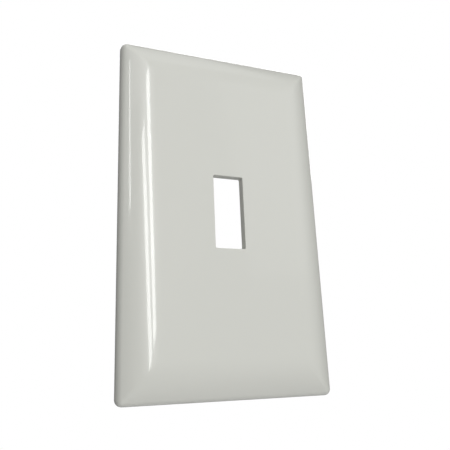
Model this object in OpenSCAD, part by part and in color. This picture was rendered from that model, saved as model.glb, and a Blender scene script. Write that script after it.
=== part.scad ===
// Single-gang toggle wall plate, screwless pattern: a pillow-edged cover that snaps on to a
// mounting plate, which two countersunk screws hold to the switch in the wall box.
// X runs across, Z up the wall and Y into the wall. The wall is the plane Y = 0 and the cover's
// face looks along -Y. The origin is midway between the two screws, in the wall's plane.

/* [Cover] */
// Width of the cover at the wall
cover_w = 69.85; // [62:0.05:90]
// Height of the cover at the wall
cover_h = 114.3; // [108:0.05:140]
// Distance from the wall to the cover's flat face
cover_d = 6.8; // [6.2:0.1:9]
// Thickness of the cover's face and sides
skin_t = 2; // [1.5:0.1:2.4]
// Width of the band over which the face rolls down to the sides
roll_w = 12; // [9:0.5:14]
// Small radius where the roll turns down into the straight side
edge_r = 3; // [2.6:0.1:3.4]
// Height of the straight side, up from the wall
side_h = 1.1; // [0.6:0.1:1.6]
// Radius of the outline's corners
corner_r = 2; // [1:0.1:4]

/* [Toggle opening] */
// Width of the opening for the switch lever
toggle_w = 10.3; // [9.5:0.1:12]
// Height of the opening for the switch lever
toggle_h = 23.8; // [22:0.1:26]
// Corner radius of the opening
toggle_r = 0.5; // [0.2:0.1:1.5]
// How far the opening's collar stands behind the face's skin
collar_h = 1; // [0.5:0.1:1.6]
// Wall of the collar
collar_t = 1.2; // [0.8:0.1:2]

/* [Snap fit] */
// Distance between the two hooks along each long side
hook_span = 62; // [40:1:70]
// Width of one hook
hook_w = 9; // [5:0.5:14]
// Thickness of a hook's arm
hook_t = 1.1; // [0.8:0.1:1.5]
// Space between the cover's side and a hook, in which the hook flexes
hook_gap = 1.5; // [0.8:0.1:2.5]
// Height of a hook's foot above the wall
hook_foot = 0.5; // [0.3:0.1:0.8]
// How far a hook's barb stands in from its arm
barb = 0.5; // [0.3:0.05:0.8]
// How far a ratchet ridge stands out from the mounting plate's flange
ridge = 0.5; // [0.3:0.05:0.8]
// Distance from one ratchet ridge to the next
ridge_pitch = 0.8; // [0.6:0.05:1.2]
// Number of ratchet ridges on each rack
ridge_count = 3; // [1:1:3]
// Gap between the barbs and the ridges, so that the rigid cover can pull off
snap_clear = 0.2; // [0.1:0.05:0.4]

/* [Cover ribs] */
// Height of the cover's cross ribs
cover_rib_h = 0.9; // [0.5:0.1:1.2]
// Thickness of the cover's cross ribs
cover_rib_t = 1; // [0.7:0.1:1.6]

/* [Mounting plate] */
// Thickness of the mounting plate's floor
floor_t = 1.6; // [1.2:0.1:2]
// Thickness of the flange round the mounting plate
flange_t = 1.3; // [1:0.1:2]
// Gap between the flange's top and the inside of the cover
flange_clear = 0.6; // [0.3:0.1:1]
// Corner radius of the mounting plate
plate_r = 3; // [2:0.5:5]
// Space between the toggle opening's edge and the window's, for the switch's collar
window_gap = 3.5; // [2.5:0.1:5]
// Corner radius of the window
window_r = 1.5; // [0.5:0.5:3]
// Height of the mounting plate's ribs above the wall
rib_h = 2.6; // [2:0.1:3]
// Thickness of the mounting plate's ribs
rib_t = 1; // [0.7:0.1:1.5]
// Distance between the two ribs that run up the mounting plate
rib_span = 36; // [28:1:42]
// Width of the recess for the switch's strap in the back of the floor
strap_w = 22; // [16:1:26]
// Depth of the recess for the switch's strap
strap_t = 0.6; // [0.3:0.1:0.8]

/* [Screws] */
// Distance between the two plate screws of a toggle switch
screw_span = 60.325; // [60.325]
// Outside diameter of a number 6 thread
thread_d = 3.505; // [3.505]
// Length of the screw, its flat head included
screw_l = 12.7; // [9.5:0.1:19]
// Diameter of the screw's head
head_d = 6.8; // [6.2:0.1:7.2]
// Angle of the countersink
sink_angle = 82; // [82, 90]
// Thickness of the head's rim, above its cone
head_rim = 0.25; // [0.1:0.05:0.4]
// Width of the screwdriver slot
slot_w = 1.1; // [0.8:0.1:1.4]
// Depth of the screwdriver slot
slot_d = 0.9; // [0.6:0.1:1.1]
// Diameter of the plain neck under the head
neck_d = 2.9; // [2.7:0.1:3.2]
// Chamfer at the screw's tip
tip_chamfer = 0.6; // [0.3:0.1:0.9]
// Gap between a screw's thread and the side of its hole
hole_clear = 0.35; // [0.2:0.05:0.6]
// Gap between a screw's head and its seat
seat_clear = 0.05; // [0.03:0.01:0.1]
// Plastic left round a screw's head
boss_wall = 2.1; // [1.2:0.1:3]
// Plastic left between a screw's countersink and the strap's recess
seat_floor = 0.5; // [0.3:0.1:0.8]

/* [Switch fixing screws] */
// Distance between the screws that hold the switch to its box
box_screw_span = 83.34; // [83.34]
// Width of the opening round the head of each of those screws
relief_w = 11; // [9:0.5:13]
// Height of the opening round the head of each of those screws
relief_h = 8.6; // [7.5:0.1:9]

/* [Hidden] */
$fn = 96;

eps = 0.5; // overshoot of a cutting shape past the face that it cuts

// The inside of the cover is its outside, offset by the skin.
in_w = cover_w - 2 * skin_t;
in_h = cover_h - 2 * skin_t;
in_d = cover_d - skin_t;
in_roll = roll_w - skin_t;
in_edge_r = edge_r - skin_t;
in_corner_r = max(corner_r - skin_t, 0.4);

// Each hook's arm starts this far in from the cover's outline, and the flange stands clear of its barb.
hook_inset = skin_t + hook_gap;
flange_inset = hook_inset + hook_t + barb + snap_clear + ridge;
plate_w = cover_w - 2 * flange_inset;
plate_h = cover_h - 2 * flange_inset;
flange_h = inner_height(flange_inset) - flange_clear;

window_w = toggle_w + 2 * window_gap;
window_h = toggle_h + 2 * window_gap;

// The screw's head sinks flush into its boss, and its thread begins just behind the plate.
thread_gap = 0.1;
cone_h = (head_d - thread_d) / 2 / tan(sink_angle / 2);
head_h = cone_h + head_rim;
boss_h = strap_t + seat_floor + head_h;
thread_l = screw_l - boss_h + strap_t - thread_gap;
neck_top = screw_l - head_rim - (head_d - neck_d) / 2 / tan(sink_angle / 2);
boss_d = head_d + 2 * (seat_clear + boss_wall);
hole_d = thread_d + 2 * hole_clear;

// The cover's cross ribs lie midway between the window's frame and the screws' bosses.
cover_rib_y = (window_h / 2 + rib_t + screw_span / 2 - boss_d / 2) / 2;

// A barb's lead-in and its catch, as heights above the hook's foot.
barb_tip_z = 0.9;
barb_top_z = 1.3;
lead_in = 0.2;
// The lowest ratchet ridge stands this far above the wall, and each rack runs past its hook's sides.
ridge_z = 0.35;
rack_w = hook_w + 2;
// A ridge's crest and its upper foot, as shares of the pitch.
crest = 0.6;
upper_foot = 0.8;

// Angle through which a roll turns before its small radius takes over.
function turn(d, roll, er, side) = 2 * atan((d - side - er) / (roll - er));
// Large radius of a roll.
function big_r(d, roll, er, side) = (roll - er) / sin(turn(d, roll, er, side)) + er;
// Height of the cover's inner face above the wall, at an inset from the cover's outline.
function inner_height(inset) =
    let (r = big_r(in_d, in_roll, in_edge_r, side_h), x = max(roll_w - inset, 0))
    in_d - r + sqrt(r * r - x * x);

// Turns a shape drawn with its back on the XY plane so that its back is on the wall.
module on_wall() {
    rotate([90, 0, 0]) children();
}

// A rectangle with round corners.
module rounded(w, h, r) {
    square([w - 2 * r, h], center = true);
    square([w, h - 2 * r], center = true);
    for (x = [-1, 1], y = [-1, 1])
        translate([x * (w / 2 - r), y * (h / 2 - r)]) circle(r);
}

// A slot that is wider than it is high, with round ends.
module slot_hole(w, h) {
    square([w - h, h], center = true);
    for (x = [-1, 1])
        translate([x * (w - h) / 2, 0]) circle(d = h);
}

// One end of a roll's profile: the large arc, the small arc and the straight side.
module roll_end(half, d, roll, er, side, base) {
    r = big_r(d, roll, er, side);
    join = roll - er * (1 - sin(turn(d, roll, er, side)));
    translate([half - roll, 0]) {
        intersection() {
            translate([0, d - r]) circle(r);
            translate([0, base]) square([join, d + eps - base]);
        }
        intersection() {
            translate([roll - er, side]) circle(er);
            translate([join, 0]) square([roll - join + eps, d]);
        }
        translate([join, base]) square([roll - join, side - base]);
    }
}

// Profile across a pillow: a flat top that rolls down to a straight side at both ends.
module roll_profile(w, d, roll, er, side, base) {
    for (side_of = [0, 1])
        mirror([side_of, 0]) roll_end(w / 2, d, roll, er, side, base);
    translate([roll - w / 2, base]) square([w - 2 * roll, d - base]);
}

// A block whose four edges roll down to its sides and meet at mitres in the corners.
module pillow(w, h, d, roll, er, side, cr, base = 0) {
    intersection() {
        rotate([90, 0, 0])
            linear_extrude(h + 2 * eps, center = true) roll_profile(w, d, roll, er, side, base);
        rotate([90, 0, 90])
            linear_extrude(w + 2 * eps, center = true) roll_profile(h, d, roll, er, side, base);
        translate([0, 0, base - eps]) linear_extrude(d - base + 2 * eps) rounded(w, h, cr);
    }
}

// Places a shape drawn for the right-hand side at each of the cover's six hooks. Its X is 0 on the
// cover's outline and points inwards.
module at_hooks() {
    for (turned = [0, 180]) {
        for (y = [-hook_span / 2, hook_span / 2])
            rotate(turned) translate([cover_w / 2, y]) mirror([1, 0]) children();
        rotate(turned + 90) translate([cover_h / 2, 0]) mirror([1, 0]) children();
    }
}

// A hook of the cover: an arm with a barb near its foot.
module hook() {
    top = inner_height(hook_inset) + skin_t / 2;
    tip = hook_foot + barb_tip_z;
    translate([hook_inset, hook_w / 2]) rotate([90, 0, 0]) linear_extrude(hook_w) polygon([
        [0, hook_foot], [hook_t - lead_in, hook_foot], [hook_t + barb, tip],
        [hook_t, hook_foot + barb_top_z], [hook_t, top], [0, top]
    ]);
}

// A rack of ratchet ridges on the mounting plate's flange, opposite a hook.
module rack() {
    for (i = [0:ridge_count - 1])
        translate([flange_inset, rack_w / 2, ridge_z + i * ridge_pitch]) rotate([90, 0, 0])
            linear_extrude(rack_w) polygon([
                [flange_t / 2, 0], [0, 0], [-ridge, ridge_pitch * crest],
                [0, ridge_pitch * upper_foot], [flange_t / 2, ridge_pitch * upper_foot]
            ]);
}

module snap_cover() {
    color("#e4e4de") on_wall() difference() {
        union() {
            difference() {
                pillow(cover_w, cover_h, cover_d, roll_w, edge_r, side_h, corner_r);
                pillow(in_w, in_h, in_d, in_roll, in_edge_r, side_h, in_corner_r, -eps);
            }
            at_hooks() hook();
            translate([0, 0, in_d - collar_h])
                linear_extrude(collar_h + skin_t / 2)
                    rounded(toggle_w + 2 * collar_t, toggle_h + 2 * collar_t, toggle_r + collar_t);
            for (y = [-cover_rib_y, cover_rib_y])
                translate([0, y, in_d + (skin_t / 2 - cover_rib_h) / 2])
                    cube([in_w - 2 * in_roll, cover_rib_t, cover_rib_h + skin_t / 2], center = true);
        }
        translate([0, 0, in_d - collar_h - eps])
            linear_extrude(collar_h + skin_t + 2 * eps) rounded(toggle_w, toggle_h, toggle_r);
    }
}

// The mounting plate's floor, flange, ribs and bosses, before anything is cut from them.
module plate_body() {
    linear_extrude(floor_t) rounded(plate_w, plate_h, plate_r);
    linear_extrude(flange_h) difference() {
        rounded(plate_w, plate_h, plate_r);
        rounded(plate_w - 2 * flange_t, plate_h - 2 * flange_t, plate_r - flange_t);
    }
    at_hooks() rack();
    linear_extrude(rib_h) {
        rounded(window_w + 2 * rib_t, window_h + 2 * rib_t, window_r + rib_t);
        for (x = [-rib_span / 2, rib_span / 2])
            translate([x, 0]) square([rib_t, plate_h - flange_t], center = true);
        for (y = [-screw_span / 2, 0, screw_span / 2])
            translate([0, y]) square([plate_w - flange_t, rib_t], center = true);
    }
    for (y = [-screw_span / 2, screw_span / 2])
        translate([0, y]) cylinder(d = boss_d, h = boss_h);
}

// A screw's hole with its countersink, cut from the top of its boss.
module screw_hole() {
    sink_d = head_d + 2 * seat_clear;
    translate([0, 0, -eps]) cylinder(d = hole_d, h = boss_h + 2 * eps);
    translate([0, 0, boss_h - head_rim - seat_clear]) cylinder(d = sink_d, h = head_rim + eps + seat_clear);
    translate([0, 0, boss_h - head_h - seat_clear])
        cylinder(d1 = sink_d - 2 * cone_h * tan(sink_angle / 2), d2 = sink_d, h = cone_h);
}

module mounting_plate() {
    color("#dcdcd6") on_wall() difference() {
        plate_body();
        translate([0, 0, -eps]) linear_extrude(boss_h + 2 * eps) rounded(window_w, window_h, window_r);
        for (y = [-screw_span / 2, screw_span / 2])
            translate([0, y]) screw_hole();
        for (y = [-box_screw_span / 2, box_screw_span / 2])
            translate([0, y, -eps])
                linear_extrude(boss_h + 2 * eps) slot_hole(relief_w, relief_h);
        translate([0, 0, strap_t / 2 - eps / 2])
            cube([strap_w, plate_h + 2 * eps, strap_t + eps], center = true);
    }
}

// A flat-head machine screw, its head flush with the top of the boss.
module screw() {
    color("#b9bcbf") on_wall() translate([0, 0, boss_h - screw_l]) difference() {
        rotate_extrude() polygon([
            [0, 0], [thread_d / 2 - tip_chamfer, 0], [thread_d / 2, tip_chamfer],
            [thread_d / 2, thread_l], [neck_d / 2, thread_l], [neck_d / 2, neck_top],
            [head_d / 2, screw_l - head_rim], [head_d / 2, screw_l], [0, screw_l]
        ]);
        translate([0, 0, screw_l - slot_d / 2 + eps / 2])
            cube([head_d + 2 * eps, slot_w, slot_d + eps], center = true);
    }
}

module upper_screw() {
    translate([0, 0, screw_span / 2]) screw();
}

module lower_screw() {
    translate([0, 0, -screw_span / 2]) screw();
}

snap_cover();
mounting_plate();
upper_screw();
lower_screw();
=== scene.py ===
import math
import bpy
import bmesh
from mathutils import Matrix, Vector


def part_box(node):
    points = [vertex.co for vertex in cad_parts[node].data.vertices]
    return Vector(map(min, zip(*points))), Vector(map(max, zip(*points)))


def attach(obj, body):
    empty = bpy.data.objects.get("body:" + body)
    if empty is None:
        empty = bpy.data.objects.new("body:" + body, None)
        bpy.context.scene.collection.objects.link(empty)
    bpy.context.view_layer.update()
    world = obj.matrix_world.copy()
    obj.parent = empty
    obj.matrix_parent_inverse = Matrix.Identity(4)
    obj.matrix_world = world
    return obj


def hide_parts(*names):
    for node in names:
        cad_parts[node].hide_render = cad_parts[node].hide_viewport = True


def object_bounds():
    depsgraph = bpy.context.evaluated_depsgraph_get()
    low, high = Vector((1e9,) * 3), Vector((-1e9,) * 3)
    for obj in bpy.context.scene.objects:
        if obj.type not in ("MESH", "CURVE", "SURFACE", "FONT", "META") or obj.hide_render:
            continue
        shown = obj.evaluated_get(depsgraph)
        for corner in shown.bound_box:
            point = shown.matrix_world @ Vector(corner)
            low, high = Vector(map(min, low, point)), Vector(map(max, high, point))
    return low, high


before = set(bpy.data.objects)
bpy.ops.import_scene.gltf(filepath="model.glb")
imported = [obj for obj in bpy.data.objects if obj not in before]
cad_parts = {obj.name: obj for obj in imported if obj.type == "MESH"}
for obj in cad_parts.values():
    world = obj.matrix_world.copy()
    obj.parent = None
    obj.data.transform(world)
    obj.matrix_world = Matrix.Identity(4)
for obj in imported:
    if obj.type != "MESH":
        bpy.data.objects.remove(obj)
cadBox = [list(corner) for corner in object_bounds()]
print("frame loaded:", sorted(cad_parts))

# Lengths in the dictionaries are millimetres. Heights are above the wall, which is the plane Y = 0,
# and the plate's face looks along -Y.
mm = 0.001


class Value:
    # a node's output that sums can be written with
    def __init__(self, nodes, socket):
        self.nodes = nodes
        self.socket = socket

    def sum(self, operation, first, second):
        return self.nodes.sum(operation, first, second)

    def __add__(self, other):
        return self.sum("ADD", self, other)

    def __radd__(self, other):
        return self.sum("ADD", other, self)

    def __sub__(self, other):
        return self.sum("SUBTRACT", self, other)

    def __rsub__(self, other):
        return self.sum("SUBTRACT", other, self)

    def __mul__(self, other):
        return self.sum("MULTIPLY", self, other)

    def __rmul__(self, other):
        return self.sum("MULTIPLY", other, self)

    def __pow__(self, other):
        return self.sum("POWER", self, other)


class Outputs:
    # a node's outputs by name or number, each as a Value
    def __init__(self, nodes, node):
        self.nodes = nodes
        self.node = node

    def __getitem__(self, name):
        return Value(self.nodes, self.node.outputs[name])


class Nodes:
    # adds nodes to a tree: the settings are set first, then the values or links of the sockets
    def __init__(self, tree):
        self.tree = tree

    def add(self, kind, settings=None, sockets=None):
        node = self.tree.nodes.new(kind)
        for name, value in (settings or {}).items():
            setattr(node, name, value)
        for name, value in (sockets or {}).items():
            for one in value if isinstance(value, list) else [value]:
                if isinstance(one, Value):
                    self.tree.links.new(one.socket, node.inputs[name])
                else:
                    node.inputs[name].default_value = one
        return Outputs(self, node)

    def sum(self, operation, first, second=0.0):
        return self.add("ShaderNodeMath", {"operation": operation}, {0: first, 1: second})["Value"]


class Shader(Nodes):
    def __init__(self, owner):
        # owner is a new material or world
        self.owner = owner
        owner.use_nodes = True
        super().__init__(owner.node_tree)
        self.tree.nodes.clear()

    def place(self):
        return self.add("ShaderNodeTexCoord")["Object"]

    def noise(self, scale, detail=2, roughness=0.5, stretch=(1, 1, 1)):
        spot = self.add("ShaderNodeMapping", None, {"Vector": self.place(), "Scale": stretch})["Vector"]
        sizes = {"Vector": spot, "Scale": scale, "Detail": detail, "Roughness": roughness}
        return self.add("ShaderNodeTexNoise", None, sizes)["Fac"]

    def spread(self, noise, usualLow=0.3, usualHigh=0.7):
        # noise, which seldom leaves its usual range, spread over 0 to 1
        sizes = {"Value": noise, "From Min": usualLow, "From Max": usualHigh}
        return self.add("ShaderNodeMapRange", {"interpolation_type": "SMOOTHERSTEP"}, sizes)["Result"]

    def mix(self, share, first, second):
        # the Mix node's colour sockets are its seventh and eighth inputs and its third output
        node = self.add("ShaderNodeMix", {"data_type": "RGBA"}, {0: share, 6: first, 7: second})
        return node[2]

    def bump(self, height, distance, under=None):
        sockets = {"Height": height, "Distance": distance}
        if under is not None:
            sockets["Normal"] = under
        return self.add("ShaderNodeBump", None, sockets)["Normal"]

    def finish(self, sockets):
        surface = self.add("ShaderNodeBsdfPrincipled", None, sockets)["BSDF"]
        self.add("ShaderNodeOutputMaterial", None, {"Surface": surface})
        return self.owner


class Layout(Nodes):
    # a Geometry Nodes tree with named sizes, which ends in Realize Instances and Set Material
    def __init__(self, name, sizes, material):
        super().__init__(bpy.data.node_groups.new(name, "GeometryNodeTree"))
        self.sizes = sizes
        self.material = material
        face = self.tree.interface
        face.new_socket("Geometry", in_out="INPUT", socket_type="NodeSocketGeometry")
        self.sockets = {}
        for label, size in sizes.items():
            kind = "NodeSocketInt" if isinstance(size, int) else "NodeSocketFloat"
            self.sockets[label] = face.new_socket(label, in_out="INPUT", socket_type=kind).identifier
        face.new_socket("Geometry", in_out="OUTPUT", socket_type="NodeSocketGeometry")
        self.given = self.add("NodeGroupInput")

    def spot(self, x=0.0, y=0.0, z=0.0):
        return self.add("ShaderNodeCombineXYZ", None, {0: x, 1: y, 2: z})["Vector"]

    def line(self, count, start, step):
        sockets = {"Count": count, "Start Location": start, "Offset": step}
        return self.add("GeometryNodeMeshLine", None, sockets)["Mesh"]

    def copies(self, points, item):
        sockets = {"Points": points, "Instance": item}
        return self.add("GeometryNodeInstanceOnPoints", None, sockets)["Instances"]

    def moved(self, item, move=(0, 0, 0), turn=(0, 0, 0)):
        # turn is in radians
        sockets = {"Geometry": item, "Translation": move, "Rotation": turn}
        return self.add("GeometryNodeTransform", None, sockets)["Geometry"]

    def joined(self, *items):
        return self.add("GeometryNodeJoinGeometry", None, {"Geometry": list(items)})["Geometry"]

    def finish(self, item):
        plain = self.add("GeometryNodeRealizeInstances", None, {"Geometry": item})["Geometry"]
        sockets = {"Geometry": plain, "Material": self.material}
        done = self.add("GeometryNodeSetMaterial", None, sockets)["Geometry"]
        self.add("NodeGroupOutput", None, {"Geometry": done})

    def applyTo(self, piece):
        # sets the named sizes and returns the evaluated result as a plain mesh
        modifier = piece.modifiers.new(self.tree.name, "NODES")
        modifier.node_group = self.tree
        for label, size in self.sizes.items():
            modifier[self.sockets[label]] = size
        return plainMesh(piece)


def plainMesh(piece):
    # the piece's mesh with its modifiers applied; the working piece is removed
    bpy.context.view_layer.update()
    graph = bpy.context.evaluated_depsgraph_get()
    evaluated = piece.evaluated_get(graph)
    mesh = bpy.data.meshes.new_from_object(evaluated, preserve_all_data_layers=True, depsgraph=graph)
    bpy.data.objects.remove(piece)
    return mesh


def newPiece(name, mesh):
    mesh.name = name
    piece = bpy.data.objects.new(name, mesh)
    bpy.context.scene.collection.objects.link(piece)
    return piece


def closedMesh(name, points, faces, material, smoothAngle=40, mergeGap=1e-7):
    # a mesh with its doubles merged, its faces outwards and its sharp edges marked; mergeGap is in metres
    mesh = bpy.data.meshes.new(name)
    mesh.from_pydata(points, [], faces)
    work = bmesh.new()
    work.from_mesh(mesh)
    bmesh.ops.remove_doubles(work, verts=work.verts, dist=mergeGap)
    bmesh.ops.recalc_face_normals(work, faces=work.faces)
    work.to_mesh(mesh)
    work.free()
    mesh.materials.append(material)
    mesh.shade_smooth()
    mesh.set_sharp_from_angle(angle=math.radians(smoothAngle))
    return mesh


def joinedMesh(name, meshes, material):
    # several closed meshes as one
    work = bmesh.new()
    for mesh in meshes:
        work.from_mesh(mesh)
    whole = bpy.data.meshes.new(name)
    work.to_mesh(whole)
    work.free()
    whole.materials.append(material)
    for face in whole.polygons:
        face.material_index = 0
    return whole


def arcPoints(centre, radius, start, end, count):
    # points on an arc, in degrees from the first axis towards the second
    turns = [math.radians(start + (end - start) * i / count) for i in range(count + 1)]
    return [(centre[0] + radius * math.cos(t), centre[1] + radius * math.sin(t)) for t in turns]


def ringPoints(halfW, halfH, radius, height, cornerCount, sideCounts):
    # one ring round the plate: a rectangle with round corners, at a height above the wall; corners has
    # each corner's signs of X and Z, and the angle at which its arc starts
    corners = [(1, 1, 0), (-1, 1, 90), (-1, -1, 180), (1, -1, 270)]
    arcs = []
    for signX, signZ, start in corners:
        centre = (signX * (halfW - radius), signZ * (halfH - radius))
        arcs.append(arcPoints(centre, radius, start, start + 90, cornerCount))
    points = []
    for index, arc in enumerate(arcs):
        startX, startZ = arc[-1]
        endX, endZ = arcs[(index + 1) % len(arcs)][0]
        count = sideCounts[index % len(sideCounts)]
        points += arc
        points += [(startX + (endX - startX) * i / count, startZ + (endZ - startZ) * i / count)
                   for i in range(1, count)]
    return [(x * mm, -height * mm, z * mm) for x, z in points]


def ringsToMesh(rings, closed=True):
    # joins each ring to the next with quads, and the last to the first when closed
    size = len(rings[0])
    points = [point for ring in rings for point in ring]
    faces = []
    for row in range(len(rings) if closed else len(rings) - 1):
        here = row * size
        there = (row + 1) % len(rings) * size
        for i in range(size):
            j = (i + 1) % size
            faces.append((here + i, here + j, there + j, there + i))
    return points, faces


def prismMesh(name, outline, start, end, material):
    # an outline of (x, y) in metres drawn out along Z from start to end
    count = len(outline)
    points = [(x, y, z) for z in (start, end) for x, y in outline]
    faces = [(i, (i + 1) % count, (i + 1) % count + count, i + count) for i in range(count)]
    faces += [tuple(range(count)), tuple(range(count, 2 * count))]
    return closedMesh(name, points, faces, material)


def roundEdges(piece, width, segments, angle=30):
    bevel = piece.modifiers.new("roundEdges", "BEVEL")
    bevel.width = width * mm
    bevel.segments = segments
    bevel.limit_method = "ANGLE"
    bevel.angle_limit = math.radians(angle)
    bevel.use_clamp_overlap = False
    bevel.miter_outer = "MITER_ARC"
    weigh = piece.modifiers.new("flatFaces", "WEIGHTED_NORMAL")
    weigh.keep_sharp = True


coverFinish = {
    "colour": (0.781, 0.787, 0.731, 1),
    "otherColour": (0.775, 0.781, 0.723, 1),
    "patch": 14,                 # noise scales are per metre
    "gloss": (0.23, 0.29),       # roughness, from patch to patch
    "insideGloss": 0.45,
    "skin": (0.7, 0.05),         # the polished skin over it: weight, roughness
    "peel": (420, 0.0000006),    # the moulded skin's waviness: scale, height in metres
    "grain": (5200, 0.000012),   # the eroded inside's grain: scale, height in metres
    "index": 1.5,                # refractive index
}


def makeCoverPlastic():
    sizes = coverFinish
    shader = Shader(bpy.data.materials.new("coverPlastic"))
    inside = shader.add("ShaderNodeAttribute", {"attribute_name": "inside"})["Fac"]
    patch = shader.noise(sizes["patch"])
    colour = shader.mix(patch, sizes["colour"], sizes["otherColour"])
    low, high = sizes["gloss"]
    gloss = (low + patch * (high - low)) * (1 - inside) + inside * sizes["insideGloss"]
    peelScale, peelHeight = sizes["peel"]
    grainScale, grainHeight = sizes["grain"]
    relief = shader.bump(shader.noise(peelScale, detail=1), peelHeight)
    relief = shader.bump(shader.noise(grainScale, roughness=0.6) * inside, grainHeight, relief)
    skinWeight, skinGloss = sizes["skin"]
    return shader.finish({"Base Color": colour, "Roughness": gloss, "Normal": relief, "IOR": sizes["index"],
                          "Coat Weight": (1 - inside) * skinWeight, "Coat Roughness": skinGloss})


mountingFinish = {
    "colour": (0.74, 0.74, 0.695, 1),
    "otherColour": (0.70, 0.70, 0.65, 1),
    "flow": (30, (1, 1, 0.25)),  # faint streaks where the plastic flowed up the mould: scale, stretch
    "gloss": (0.40, 0.52),
    "grain": (4200, 0.000016),
    "index": 1.5,
}


def makeMountingPlastic():
    sizes = mountingFinish
    shader = Shader(bpy.data.materials.new("mountingPlastic"))
    flowScale, flowStretch = sizes["flow"]
    flow = shader.spread(shader.noise(flowScale, detail=4, roughness=0.55, stretch=flowStretch))
    low, high = sizes["gloss"]
    grainScale, grainHeight = sizes["grain"]
    grain = shader.bump(shader.noise(grainScale, detail=3, roughness=0.6), grainHeight)
    return shader.finish({"Base Color": shader.mix(flow, sizes["colour"], sizes["otherColour"]),
                          "Roughness": low + flow * (high - low), "Normal": grain, "IOR": sizes["index"]})


zincFinish = {
    "colour": (0.66, 0.68, 0.70, 1),
    "otherColour": (0.60, 0.605, 0.60, 1),   # the plating's duller, yellower patches
    "patch": 700,
    "gloss": (0.20, 0.36),
    "lathe": (26000, 0.000004),              # rings left by turning: radians of the wave per metre, height
    "pits": (9000, 0.000006),
}


def makeZincSteel(centre):
    # centre is either screw's distance from the plate's middle, so that the rings lie round each screw
    sizes = zincFinish
    shader = Shader(bpy.data.materials.new("zincSteel"))
    axes = shader.add("ShaderNodeSeparateXYZ", None, {0: shader.place()})
    across = axes["X"]
    up = shader.sum("ABSOLUTE", axes["Z"]) - centre
    fromAxis = (across * across + up * up) ** 0.5
    latheScale, latheHeight = sizes["lathe"]
    rings = shader.sum("SINE", fromAxis * latheScale)
    patch = shader.spread(shader.noise(sizes["patch"], detail=3, roughness=0.6))
    pitScale, pitHeight = sizes["pits"]
    relief = shader.bump(rings, latheHeight)
    relief = shader.bump(shader.noise(pitScale), pitHeight, relief)
    low, high = sizes["gloss"]
    return shader.finish({"Base Color": shader.mix(patch, sizes["colour"], sizes["otherColour"]),
                          "Roughness": low + patch * (high - low), "Metallic": 1.0, "Normal": relief})


coverLow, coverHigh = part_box("snap_cover")
coverSizes = {
    "skin": 2.0,
    "roll": 12.0,
    "edgeRadius": 3.0,
    "side": 1.1,
    "cornerRadius": 2.0,
    "creaseRadius": 1.3,         # softness of the mitres between the rolls
    "insideCrease": 0.6,
    "rimRadius": 0.2,            # where the side meets the wall
    "opening": (10.3, 23.8),
    "openingRadius": 0.5,
    "openingEdge": 0.2,
    "collar": (1.0, 1.2),        # height behind the skin, wall
    "fillet": 0.4,
    "hold": 0.1,                 # from an edge to the ring that keeps the flat beside it flat
    "rimHold": 0.05,
    # rings over the flats, as shares of the way out to the roll and in to the collar
    "faceShares": (0.03, 0.1, 0.2, 0.35, 0.5, 0.65, 0.8, 0.9, 0.97),
    "insideShares": (0.03, 0.2, 0.5, 0.8, 0.97),
    # steps down each roll's large and small radius, round the small edges and round a ring
    "rollCounts": (44, 26),
    "insideCounts": (24, 10),
    "edgeCount": 4,
    "openingCount": 5,
    "filletCount": 5,
    "cornerCount": 10,
    "sideCounts": (22, 36),
}
halfWidth = (coverHigh.x - coverLow.x) / 2 / mm
halfHeight = (coverHigh.z - coverLow.z) / 2 / mm
coverDepth = (coverHigh.y - coverLow.y) / mm


def rollSizes(depth, roll, edge, side):
    # how far a roll turns before its small radius takes over, and its large radius
    turn = 2 * math.atan((depth - side - edge) / (roll - edge))
    return turn, (roll - edge) / math.sin(turn) + edge


def rollArcs(depth, roll, edge, side, counts):
    # (inset, height) down a roll, from the flat face to the top of the straight side
    turn, radius = rollSizes(depth, roll, edge, side)
    rest = math.pi / 2 - turn
    largeTurns = [turn * i / counts[0] for i in range(counts[0] + 1)]
    smallTurns = [turn + rest * i / counts[1] for i in range(1, counts[1] + 1)]
    large = [(roll - radius * math.sin(t), depth - radius * (1 - math.cos(t))) for t in largeTurns]
    small = [(edge - edge * math.sin(t), side + edge * math.cos(t)) for t in smallTurns]
    return large + small


def innerHeight(inset):
    # height of the cover's inner face, at an inset from the cover's outline
    skin = coverSizes["skin"]
    roll = coverSizes["roll"]
    depth = coverDepth - skin
    radius = rollSizes(depth, roll - skin, coverSizes["edgeRadius"] - skin, coverSizes["side"])[1]
    return depth - radius + math.sqrt(radius ** 2 - max(roll - inset, 0) ** 2)


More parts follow.
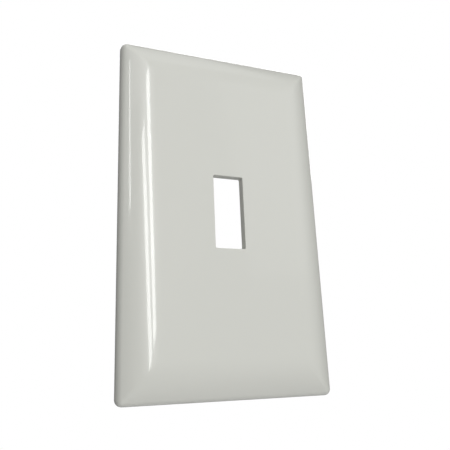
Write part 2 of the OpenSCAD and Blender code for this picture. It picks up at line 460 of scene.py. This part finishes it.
def coverShell(material):
    # one closed sheet of rings: over the face, down the roll, up the inside and through the opening
    sizes = coverSizes
    skin, roll, rim = sizes["skin"], sizes["roll"], sizes["rimRadius"]
    openW, openH = (size / 2 for size in sizes["opening"])
    openR, openEdge = sizes["openingRadius"], sizes["openingEdge"]
    collarH, collarT = sizes["collar"]
    fillet, hold, crease = sizes["fillet"], sizes["hold"], sizes["insideCrease"]
    edgeRadius, side, edgeCount = sizes["edgeRadius"], sizes["side"], sizes["edgeCount"]
    inside = coverDepth - skin
    rings = []

    def outline(inset, height, least=sizes["creaseRadius"]):
        radius = max(sizes["cornerRadius"] - inset, least)
        rings.append((halfWidth - inset, halfHeight - inset, radius, height))

    def opening(out, height):
        rings.append((openW + out, openH + out, openR + max(out, 0), height))

    def across(end, shares):
        start = rings[-1]
        rings.extend(tuple(a + (b - a) * share for a, b in zip(start, end)) for share in shares)

    for x, z in arcPoints((openEdge, coverDepth - openEdge), openEdge, 180, 90, sizes["openingCount"]):
        opening(x, z)
    opening(openEdge + hold, coverDepth)
    across((halfWidth - roll, halfHeight - roll, sizes["creaseRadius"], coverDepth), sizes["faceShares"])
    for inset, height in rollArcs(coverDepth, roll, edgeRadius, side, sizes["rollCounts"]):
        outline(inset, height)
    outline(0, rim + sizes["rimHold"])
    for x, z in arcPoints((rim, rim), rim, 180, 270, edgeCount):
        outline(x, z)
    firstInside = len(rings)
    for x, z in arcPoints((skin - rim, rim), rim, 270, 360, edgeCount):
        outline(x, z, crease)
    inner = rollArcs(inside, roll - skin, edgeRadius - skin, side, sizes["insideCounts"])
    for inset, height in reversed(inner):
        outline(skin + inset, height, crease)
    foot = collarT + fillet
    across((openW + foot, openH + foot, openR + foot, inside), sizes["insideShares"])
    for x, z in arcPoints((foot, inside - fillet), fillet, 90, 180, sizes["filletCount"]):
        opening(x, z)
    for x, z in arcPoints((collarT - openEdge, inside - collarH + openEdge), openEdge, 0, -90, edgeCount):
        opening(x, z)
    lastInside = len(rings)
    for x, z in arcPoints((openEdge, inside - collarH + openEdge), openEdge, 270, 180, edgeCount):
        opening(x, z)
    opening(0, coverDepth - openEdge - hold)

    loops = [ringPoints(*ring, sizes["cornerCount"], sizes["sideCounts"]) for ring in rings]
    points, faces = ringsToMesh(loops)
    shell = closedMesh("shell", points, faces, material, smoothAngle=60)
    ringSize = len(loops[0])
    markInside(shell, range(firstInside * ringSize, lastInside * ringSize))
    return shell


def markInside(mesh, places=None):
    # 1 on the points of the cover's unpolished inside; on a fitting, these are all its points
    layer = mesh.attributes.new("inside", "FLOAT", "POINT")
    for place in range(len(mesh.vertices)) if places is None else places:
        layer.data[place].value = 1


hookSizes = {
    "span": 62.0,                # between the two hooks along each long side
    "width": 9.0,
    "arm": 1.1,
    "inset": 3.5,                # from the cover's outline to the arm
    "foot": 0.5,                 # height of the hook's end above the wall
    "barb": 0.5,
    "barbTip": 0.9,              # heights above the foot
    "barbTop": 1.3,
    "leadIn": 0.2,
    "root": 0.45,                # the arm's flare where it joins the skin
    "rootCount": 4,
    "outerDrop": 0.1,            # how much lower the flare starts on the outer side, where the skin slopes
    "sunk": 0.3,                 # how far the arm runs into the skin
    "edge": 0.12,
    "edgeCount": 2,
}


def hookPlaces(material):
    # sets a hook drawn at the right-hand side's middle twice along each long side and once at each end
    sizes = {"Half Width": halfWidth * mm, "Half Height": halfHeight * mm, "Span": hookSizes["span"] * mm}
    layout = Layout("hookPlaces", sizes, material)
    given = layout.given
    hook = given["Geometry"]
    start = layout.spot(given["Half Width"], 0, given["Span"] * -0.5)
    longSide = layout.copies(layout.line(2, start, layout.spot(0, 0, given["Span"])), hook)
    shortSide = layout.moved(hook, layout.spot(0, 0, given["Half Height"]), (0, -math.pi / 2, 0))
    half = layout.joined(longSide, shortSide)
    layout.finish(layout.joined(half, layout.moved(half, turn=(0, math.pi, 0))))
    return layout


def coverHooks(material):
    sizes = hookSizes
    foot, arm, root, inset = sizes["foot"], sizes["arm"], sizes["root"], sizes["inset"]
    sunk, rootCount = sizes["sunk"], sizes["rootCount"]
    outer = innerHeight(inset)
    inner = innerHeight(inset + arm)
    profile = [(0, foot), (arm - sizes["leadIn"], foot), (arm + sizes["barb"], foot + sizes["barbTip"]),
               (arm, foot + sizes["barbTop"])]
    profile += arcPoints((arm + root, inner - root), root, 180, 90, rootCount)
    profile += [(arm + root, inner + sunk), (-root, outer + sunk)]
    profile += arcPoints((-root, outer - root - sizes["outerDrop"]), root, 90, 0, rootCount)
    outline = [(-(inset + x) * mm, -height * mm) for x, height in profile]
    half = sizes["width"] / 2 * mm
    hook = newPiece("hook", prismMesh("hook", outline, -half, half, material))
    roundEdges(hook, sizes["edge"], sizes["edgeCount"])
    return hookPlaces(material).applyTo(hook)


coverRibSizes = {
    "place": 20.47,              # up and down from the middle
    "tip": 0.4,                  # half thicknesses at the tip and the root
    "base": 0.5,
    "height": 0.9,
    "flare": 0.35,
    "flareCount": 4,
    "sunk": 0.4,                 # how far the rib runs into the skin
    "edge": 0.12,
    "edgeCount": 2,
}


def coverRibs(material):
    # a rib across the cover, drawn along X, and its twin below the middle
    sizes = coverRibSizes
    inside = coverDepth - coverSizes["skin"]
    tip, base, flare = sizes["tip"], sizes["base"], sizes["flare"]
    low = inside - sizes["height"]
    half = halfWidth - coverSizes["roll"]
    side = arcPoints((base + flare, inside - flare), flare, 180, 90, sizes["flareCount"])
    profile = [(tip, low)] + side + [(base + flare, inside + sizes["sunk"])]
    profile += [(-x, height) for x, height in reversed(profile)]
    outline = [(x * mm, -height * mm) for x, height in profile]
    rib = newPiece("rib", prismMesh("rib", outline, -half * mm, half * mm, material))
    roundEdges(rib, sizes["edge"], sizes["edgeCount"])
    layout = Layout("ribPlaces", {"Place": sizes["place"] * mm}, material)
    given = layout.given
    turned = layout.moved(given["Geometry"], turn=(0, math.pi / 2, 0))
    points = layout.line(2, layout.spot(0, 0, given["Place"] * -1), layout.spot(0, 0, given["Place"] * 2))
    layout.finish(layout.copies(points, turned))
    return layout.applyTo(rib)


def pinMarks(name, material, sizes):
    # the low round marks that ejector pins leave, in columns and rows on a flat face
    edge, around, facing = sizes["edge"], sizes["around"], sizes["facing"]
    base = sizes["face"] - facing * sizes["sunk"]
    top = sizes["face"] + facing * sizes["proud"]
    rings = []
    for radius, height in ((sizes["radius"], base), (sizes["radius"], top - facing * edge),
                           (sizes["radius"] - edge, top)):
        turns = [math.tau * i / around for i in range(around)]
        rings.append([(radius * mm * math.cos(t), -height * mm, radius * mm * math.sin(t)) for t in turns])
    points, faces = ringsToMesh(rings, closed=False)
    faces += [tuple(range(around)), tuple(range(len(points) - around, len(points)))]
    disc = newPiece("pinMark", closedMesh("pinMark", points, faces, material))
    width, height = sizes["spread"]
    columns, rows = sizes["counts"]
    inputs = {"Width": width * mm, "Height": height * mm, "Columns": columns, "Rows": rows}
    layout = Layout(name, inputs, material)
    given = layout.given
    sockets = {"Size X": given["Width"], "Size Y": given["Height"],
               "Vertices X": given["Columns"], "Vertices Y": given["Rows"]}
    grid = layout.add("GeometryNodeMeshGrid", None, sockets)["Mesh"]
    points = layout.moved(grid, turn=(math.pi / 2, 0, 0))
    layout.finish(layout.copies(points, given["Geometry"]))
    return layout.applyTo(disc)


coverPinSizes = {
    "radius": 2.0,
    "proud": 0.06,
    "sunk": 0.2,
    "edge": 0.04,
    "around": 28,                # sides of the round
    "face": coverDepth - coverSizes["skin"],     # height of the face that the marks stand on
    "facing": -1,                # towards the wall
    "spread": (32.0, 74.0),
    "counts": (2, 4),            # columns, rows
}


def makeCover(material):
    fittings = [coverHooks(material), coverRibs(material), pinMarks("coverPins", material, coverPinSizes)]
    for mesh in fittings:
        markInside(mesh)
    whole = joinedMesh("coverMoulding", [coverShell(material)] + fittings, material)
    return newPiece("coverMoulding", whole)


plateSizes = {
    "edge": 0.14,                # radius of the moulding's edges
    "edgeCount": 3,
    "flatAngle": 1,              # faces that turn less than this, in degrees, are one face
    "mergeGap": 0.001,
}
platePinSizes = {
    "radius": 1.6,
    "proud": 0.08,
    "sunk": 0.2,
    "edge": 0.04,
    "around": 28,
    "face": 1.6,
    "facing": 1,                 # away from the wall
    "spread": (46.4, 81.0),
    "counts": (2, 4),
}


def makePlate(material):
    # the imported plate's own shape, its triangles joined into whole faces and its edges rounded
    work = bmesh.new()
    work.from_mesh(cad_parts["mounting_plate"].data)
    bmesh.ops.remove_doubles(work, verts=work.verts, dist=plateSizes["mergeGap"] * mm)
    flatAngle = math.radians(plateSizes["flatAngle"])
    bmesh.ops.dissolve_limit(work, angle_limit=flatAngle, verts=work.verts, edges=work.edges)
    body = bpy.data.meshes.new("plateBody")
    work.to_mesh(body)
    work.free()
    body.shade_smooth()
    whole = joinedMesh("plateMoulding", [body, pinMarks("platePins", material, platePinSizes)], material)
    whole.shade_smooth()
    draft = newPiece("plateDraft", whole)
    roundEdges(draft, plateSizes["edge"], plateSizes["edgeCount"])
    return newPiece("plateMoulding", plainMesh(draft))


screwSizes = {
    "head": 6.8,
    "headRim": 0.25,
    "neck": 2.9,
    "neckTop": 10.207,           # heights above the tip
    "threadTop": 9.955,
    "thread": 3.505,
    "root": 2.55,
    "pitch": 25.4 / 32,
    "chamfer": 0.6,
    "edge": 0.06,
    "slot": (1.1, 0.9),          # width, depth
    "slotEdge": 0.07,
    "slotOver": 1.0,             # how far the cut for the slot stands above the head
    "around": 48,
    "smoothAngle": 32,
    # the thread's side over one pitch: share of the pitch, share of the way from root to crest
    "side": ((0, 0), (0.2, 0), (0.26, 0.08), (0.53, 0.92), (0.56, 1),
             (0.7, 1), (0.73, 0.92), (0.97, 0.06), (1, 0)),
}


def threadShare(phase):
    # share of the way from root to crest, at a place along the thread in pitches
    phase = phase % 1
    stops = screwSizes["side"]
    for (start, low), (end, high) in zip(stops, stops[1:]):
        if phase <= end:
            return low + (high - low) * (phase - start) / (end - start)
    return 0


def threadRows():
    # rings that climb with the thread, flattened on to its two ends; the last point of a ring meets
    # the first of the ring one turn on
    sizes = screwSizes
    pitch, top, around = sizes["pitch"], sizes["threadTop"], sizes["around"]
    crest, root, neck = sizes["thread"] / 2, sizes["root"] / 2, sizes["neck"] / 2
    tip = crest - sizes["chamfer"]
    rows = []
    for turn in range(-1, math.ceil(top / pitch) + 1):
        for share, _ in sizes["side"][:-1]:
            row = []
            for i in range(around):
                height = min(max(pitch * (turn + share + i / around), 0), top)
                radius = root + (crest - root) * threadShare(height / pitch - i / around)
                radius = min(radius, tip + height)
                runOut = min((top - height) / pitch, 1)
                row.append((neck + (radius - neck) * runOut if runOut < 1 else radius, height))
            rows.append(row)
    return rows


def screwMesh(name, centre, headPlace, tipPlace, material):
    # centre is the screw's place up the plate, headPlace and tipPlace its ends' places in Y, in metres
    sizes = screwSizes
    around, edge, rim = sizes["around"], sizes["edge"], sizes["headRim"]
    head, neck = sizes["head"] / 2, sizes["neck"] / 2
    total = tipPlace / mm - headPlace / mm
    rows = threadRows()
    turnRows = len(sizes["side"]) - 1
    helixCount = len(rows)
    for radius, height in ((neck, sizes["neckTop"]), (head, total - rim), (head, total - edge),
                           (head - edge, total)):
        rows.append([(radius, height)] * around)
    points = []
    for row in rows:
        for i, (radius, height) in enumerate(row):
            turn = math.tau * i / around
            x, z = radius * mm * math.cos(turn), radius * mm * math.sin(turn)
            points.append((x, tipPlace - height * mm, centre + z))
    faces = [tuple(range(around)), tuple(range(len(points) - around, len(points)))]
    for row in range(len(rows) - 1):
        for i in range(around):
            here, there = row * around + i, (row + 1) * around + i
            if i < around - 1:
                faces.append((here, here + 1, there + 1, there))
            elif row < helixCount - 1:
                below = min(row + turnRows, helixCount - 1) * around
                above = min(row + 1 + turnRows, helixCount - 1) * around
                faces.append((here, below, above, there))
            else:
                faces.append((here, row * around, (row + 1) * around, there))
    return closedMesh(name, points, faces, material, sizes["smoothAngle"])


def makeScrew(name, node, material):
    low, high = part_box(node)
    centre = (low.z + high.z) / 2
    sizes = screwSizes
    width, depth = sizes["slot"]
    half, edge, over = width / 2, sizes["slotEdge"], sizes["slotOver"]
    screw = newPiece("screwDraft", screwMesh(name, centre, low.y, high.y, material))
    profile = [(half, -depth), (half, -edge), (half + edge, 0), (half + edge, over),
               (-half - edge, over), (-half - edge, 0), (-half, -edge), (-half, -depth)]
    outline = [((low.y / mm - height) * mm, across * mm) for across, height in profile]
    length = sizes["head"] * mm
    slot = newPiece("slotDraft", prismMesh("slotDraft", outline, -length, length, material))
    # the prism's own X, Y and Z become Y, Z and X
    slot.data.transform(Matrix(((0, 0, 1, 0), (1, 0, 0, 0), (0, 1, 0, centre), (0, 0, 0, 1))))
    cut = screw.modifiers.new("slot", "BOOLEAN")
    cut.object = slot
    cut.operation = "DIFFERENCE"
    cut.solver = "EXACT"
    mesh = plainMesh(screw)
    bpy.data.objects.remove(slot)
    mesh.set_sharp_from_angle(angle=math.radians(sizes["smoothAngle"]))
    return newPiece(name, mesh)


def place(piece, node, slot, body):
    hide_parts(node)
    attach(piece, body)
    print(piece.name, "made:", len(piece.data.polygons), "faces")


cover = makeCover(makeCoverPlastic())
place(cover, "snap_cover", "cover_plastic", "cover")
plate = makePlate(makeMountingPlastic())
place(plate, "mounting_plate", "mounting_plastic", "mounting_plate")
screwLow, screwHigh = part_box("upper_screw")
zincSteel = makeZincSteel((screwLow.z + screwHigh.z) / 2)
for screwName in ("upper_screw", "lower_screw"):
    screw = makeScrew(screwName.replace("_s", "S") + "Steel", screwName, zincSteel)
    place(screw, screwName, "zinc_steel", screwName)


cameraSizes = {
    "place": (-69.743, -157.533, -43.548),
    "aim": (-8.058, 0.0, 5.786),
    "roll": -1.527,                          # degrees
    "lens": 42.889,
    "sensor": 36.0,
    "shift": (0.06, -0.06),
    "clip": (5.0, 20000.0),
}
studio = {
    "floorDrop": 650.0,                      # below the part's lowest point
    "floorRadius": 1000.0,
    "floorSides": 96,
    "floorColour": (0.86, 0.86, 0.86, 1),
    "floorGloss": 0.9,
    "backdrop": (1, 1, 1, 1),
    # the room's glow from each side, and from between two sides
    "glows": {
        "right": 0.1,
        "back": 0.2,
        "front": 0.28,
        "top": 0.1,
        "front right": 0.7,
        "front top": 0.2,
        "front bottom": 0.1,
    },
    # soft boxes: place, width and height, power
    "boxes": {
        "keyLight": ((-400, -900, 900), (900, 700), 1.4),
        "sideLight": ((900, -900, 500), (900, 700), 0.65),
        "highLight": ((100, -300, 1200), (900, 700), 0.95),
        "backLight": ((500, 900, 700), (900, 700), 8.0),
    },
    # tubes that give the left roll its bright lines: two ends, width, power
    "tubes": {
        "leftTube": ((-362, -1034, 495), (-75, -1205, -76), 110, 2.0),
        "rightTube": ((-188, -1036, 640), (77, -1202, -7), 110, 2.3),
        "edgeTube": ((-985, -923, 833), (-589, -624, 223), 44, 0.9),
    },
}


def metres(place):
    return Vector([size * mm for size in place])


def aimed(place, aim, roll=0):
    # a matrix at place that looks at aim with its own -Z, upright but for the roll
    look = (metres(aim) - metres(place)).normalized()
    right = look.cross(Vector((0, 0, 1))).normalized()
    matrix = Matrix((right, right.cross(look), -look)).transposed().to_4x4()
    return Matrix.Translation(metres(place)) @ matrix @ Matrix.Rotation(math.radians(roll), 4, "Z")


def makeCamera():
    data = bpy.data.cameras.new("camera")
    data.lens = cameraSizes["lens"]
    data.sensor_width = cameraSizes["sensor"]
    data.shift_x, data.shift_y = cameraSizes["shift"]
    data.clip_start, data.clip_end = (size * mm for size in cameraSizes["clip"])
    camera = bpy.data.objects.new("camera", data)
    bpy.context.scene.collection.objects.link(camera)
    camera.matrix_world = aimed(cameraSizes["place"], cameraSizes["aim"], cameraSizes["roll"])
    bpy.context.scene.camera = camera


def makeFloor():
    shader = Shader(bpy.data.materials.new("paleFloor"))
    material = shader.finish({"Base Color": studio["floorColour"], "Roughness": studio["floorGloss"]})
    low = min(corner[2] for corner in cadBox) - studio["floorDrop"] * mm
    radius = studio["floorRadius"] * mm
    turns = [math.tau * i / studio["floorSides"] for i in range(studio["floorSides"])]
    points = [(radius * math.cos(t), radius * math.sin(t), low) for t in turns]
    mesh = bpy.data.meshes.new("floor")
    mesh.from_pydata(points, [], [tuple(range(len(points)))])
    mesh.materials.append(material)
    newPiece("floor", mesh)


def makeLight(name, size, power, matrix):
    data = bpy.data.lights.new(name, "AREA")
    data.shape = "RECTANGLE"
    data.size, data.size_y = (side * mm for side in size)
    data.energy = power
    light = bpy.data.objects.new(name, data)
    bpy.context.scene.collection.objects.link(light)
    light.matrix_world = matrix
    light.visible_camera = False


def makeTube(name, start, end, width, power):
    # a strip from start to end, which faces the part
    start, end = Vector(start), Vector(end)
    middle = (start + end) / 2
    along = (end - start).normalized()
    back = (middle - along * middle.dot(along)).normalized()
    matrix = Matrix((along.cross(back), along, back)).transposed().to_4x4()
    makeLight(name, (width, (end - start).length), power, Matrix.Translation(middle * mm) @ matrix)


def makeWorld():
    # white where the camera sees it, and a soft room of broad glows where it lights the part
    world = bpy.data.worlds.new("studioWorld")
    shader = Shader(world)
    axes = shader.add("ShaderNodeSeparateXYZ", None, {0: shader.add("ShaderNodeTexCoord")["Generated"]})
    sides = {
        "right": shader.sum("MAXIMUM", axes["X"]),
        "back": shader.sum("MAXIMUM", axes["Y"]),
        "front": shader.sum("MAXIMUM", axes["Y"] * -1),
        "top": shader.sum("MAXIMUM", axes["Z"]),
        "bottom": shader.sum("MAXIMUM", axes["Z"] * -1),
    }
    light = 0.0
    for name, glow in studio["glows"].items():
        for side in name.split():
            glow = sides[side] * glow
        light = light + glow
    white = studio["backdrop"]
    lit = shader.add("ShaderNodeBackground", None, {"Color": white, "Strength": light})["Background"]
    seen = shader.add("ShaderNodeBackground", None, {"Color": white})["Background"]
    rays = shader.add("ShaderNodeLightPath")["Is Camera Ray"]
    choice = shader.add("ShaderNodeMixShader", None, {0: rays, 1: lit, 2: seen})["Shader"]
    shader.add("ShaderNodeOutputWorld", None, {"Surface": choice})
    bpy.context.scene.world = world


makeCamera()
makeFloor()
makeWorld()
for name, (lightPlace, size, power) in studio["boxes"].items():
    makeLight(name, size, power, aimed(lightPlace, (0, 0, 0)))
for name, (start, end, width, power) in studio["tubes"].items():
    makeTube(name, start, end, width, power)
bpy.context.scene.view_settings.view_transform = "Standard"
print("studio made")
